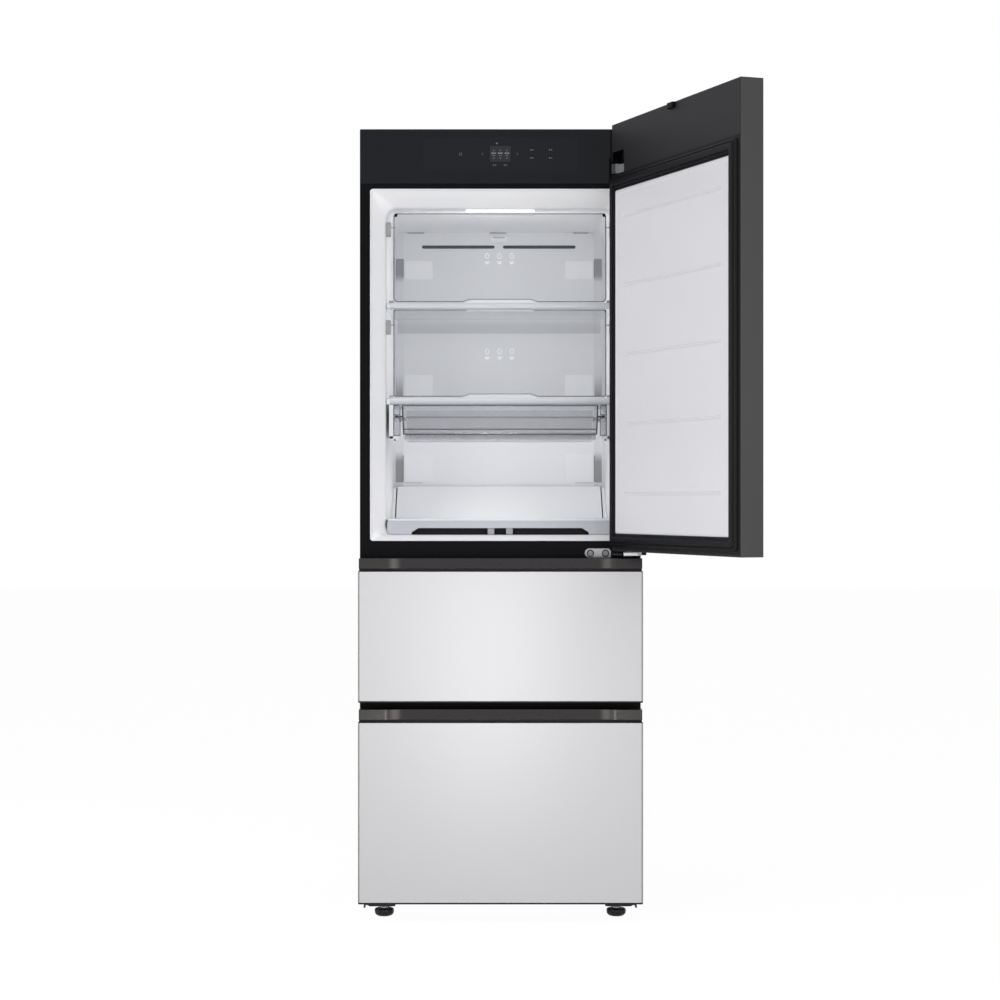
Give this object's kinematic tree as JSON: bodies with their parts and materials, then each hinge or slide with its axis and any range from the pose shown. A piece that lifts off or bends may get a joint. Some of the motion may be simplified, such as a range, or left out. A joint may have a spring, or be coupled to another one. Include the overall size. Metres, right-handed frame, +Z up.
{
  "type": "kimchi refrigerator",
  "caption": "Stand-up kimchi refrigerator with a swing door over pull-out drawers, clear cold-air flaps, glass shelves, a small tray, levelling feet and rear rollers.",
  "frame": {"origin": "on the floor, at the bottom centre of the whole's bounding box with the door open as drawn", "axes": "+Z up, -Y out of the front, +X to the right as seen from the front, towards the door's hinges"},
  "size_m": [0.8784, 1.282, 1.87],
  "materials": {
    "steel_dark": "satin",
    "steel_back": "matte",
    "steel_pan": "satin",
    "foam": "matte",
    "frame_black": "satin",
    "liner_white": "satin",
    "glass_black": "gloss",
    "board_green": "satin",
    "lamp_white": "gloss",
    "fin_aluminium": "satin",
    "fan_white": "satin",
    "shelf_clear": "gloss",
    "shelf_grey": "satin",
    "guard_clear": "gloss",
    "bracket_grey": "satin",
    "machine_black": "satin",
    "condenser_grey": "satin",
    "fan_black": "satin",
    "pan_black": "satin",
    "cover_grey": "satin",
    "rubber_black": "matte",
    "hinge_steel": "satin",
    "zinc_steel": "satin",
    "foot_black": "satin",
    "panel_white": "satin",
    "door_grey": "satin",
    "front_core": "satin",
    "door_liner_white": "satin",
    "bush_white": "satin",
    "cap_black": "satin",
    "trim_brown": "satin"
  },
  "bodies": {
    "cabinet": {"outer_case": "steel_dark", "back_panel": "steel_back", "base_pan": "steel_pan", "insulation": "foam", "front_frame": "frame_black", "upper_liner": "liner_white", "middle_liner": "liner_white", "lower_liner": "liner_white", "control_panel": "glass_black", "display_board": "board_green", "ceiling_lamp": "lamp_white", "duct_cover": "liner_white", "return_cover": "liner_white", "evaporator": "fin_aluminium", "upper_shelf": "shelf_clear", "lower_shelf": "shelf_clear", "floor_shelf": "shelf_grey", "guard_brackets": "bracket_grey", "tray_carrier": "shelf_clear", "compressor": "machine_black", "condenser": "condenser_grey", "drain_pan": "pan_black", "machine_cover": "cover_grey", "power_inlet": "rubber_black", "upper_hinge": "hinge_steel", "lower_hinge": "hinge_steel", "foot_brackets": "machine_black", "roller_brackets": "zinc_steel", "middle_guides": "zinc_steel", "lower_guides": "zinc_steel"},
    "door": {"door_skin": "panel_white", "door_frame": "door_grey", "door_core": "foam", "door_liner": "door_liner_white", "door_gasket": "rubber_black", "door_bushes": "bush_white", "door_cap": "cap_black"},
    "middle_drawer": {"middle_front": "panel_white", "middle_trim": "trim_brown", "middle_core": "front_core", "middle_gasket": "rubber_black", "middle_bin": "liner_white", "middle_sliders": "zinc_steel"},
    "lower_drawer": {"lower_front": "panel_white", "lower_trim": "trim_brown", "lower_core": "front_core", "lower_gasket": "rubber_black", "lower_bin": "liner_white", "lower_sliders": "zinc_steel"},
    "middle_rail_mids": {"middle_mids": "zinc_steel"},
    "lower_rail_mids": {"lower_mids": "zinc_steel"},
    "upper_flap": {"upper_guard": "guard_clear"},
    "lower_flap": {"lower_guard": "guard_clear"},
    "tray": {"clear_tray": "guard_clear"},
    "left_foot": {"foot_left": "foot_black"},
    "right_foot": {"foot_right": "foot_black"},
    "left_roller": {"roller_left": "rubber_black"},
    "right_roller": {"roller_right": "rubber_black"},
    "cold_air_fan": {"evaporator_fan": "fan_white"},
    "machine_fan": {"condenser_fan": "fan_black"}
  },
  "joints": [
    {"name": "door_swing", "type": "hinge", "parent": "cabinet", "child": "door", "pos_m": [0.19626, -0.035, 0.868], "axis": [0, 0, 1], "range_deg": [-110.5, 9]},
    {"name": "middle_drawer_pull", "type": "slide", "parent": "cabinet", "child": "middle_drawer", "axis": [0, -1, 0], "range_m": [0, 0.4]},
    {"name": "middle_rail_run", "type": "slide", "parent": "cabinet", "child": "middle_rail_mids", "axis": [0, -1, 0], "range_m": [0, 0.2]},
    {"name": "lower_drawer_pull", "type": "slide", "parent": "cabinet", "child": "lower_drawer", "axis": [0, -1, 0], "range_m": [0, 0.4]},
    {"name": "lower_rail_run", "type": "slide", "parent": "cabinet", "child": "lower_rail_mids", "axis": [0, -1, 0], "range_m": [0, 0.2]},
    {"name": "upper_flap_swing", "type": "hinge", "parent": "cabinet", "child": "upper_flap", "pos_m": [-0.10624, 0.0735, 1.64], "axis": [-1, 0, 0], "range_deg": [0, 80]},
    {"name": "lower_flap_swing", "type": "hinge", "parent": "cabinet", "child": "lower_flap", "pos_m": [-0.10624, 0.0735, 1.406], "axis": [-1, 0, 0], "range_deg": [0, 80]},
    {"name": "tray_pull", "type": "slide", "parent": "cabinet", "child": "tray", "axis": [0, -1, 0], "range_m": [0, 0.18]},
    {"name": "left_foot_screw", "type": "slide", "parent": "cabinet", "child": "left_foot", "axis": [0, 0, -1], "range_m": [0, 0.012]},
    {"name": "right_foot_screw", "type": "slide", "parent": "cabinet", "child": "right_foot", "axis": [0, 0, -1], "range_m": [0, 0.012]},
    {"name": "left_roller_spin", "type": "hinge", "parent": "cabinet", "child": "left_roller", "pos_m": [-0.37624, 0.6, 0.014], "axis": [1, 0, 0], "continuous": true},
    {"name": "right_roller_spin", "type": "hinge", "parent": "cabinet", "child": "right_roller", "pos_m": [0.16376, 0.6, 0.014], "axis": [1, 0, 0], "continuous": true},
    {"name": "cold_air_fan_spin", "type": "hinge", "parent": "cabinet", "child": "cold_air_fan", "pos_m": [-0.10624, 0.573, 1.33], "axis": [0, 1, 0], "continuous": true},
    {"name": "machine_fan_spin", "type": "hinge", "parent": "cabinet", "child": "machine_fan", "pos_m": [-0.07624, 0.535, 0.13], "axis": [1, 0, 0], "continuous": true}
  ],
  "couplings": [
    {"joint": "middle_rail_run", "follows": "middle_drawer_pull", "ratio": 0.5},
    {"joint": "lower_rail_run", "follows": "lower_drawer_pull", "ratio": 0.5}
  ]
}
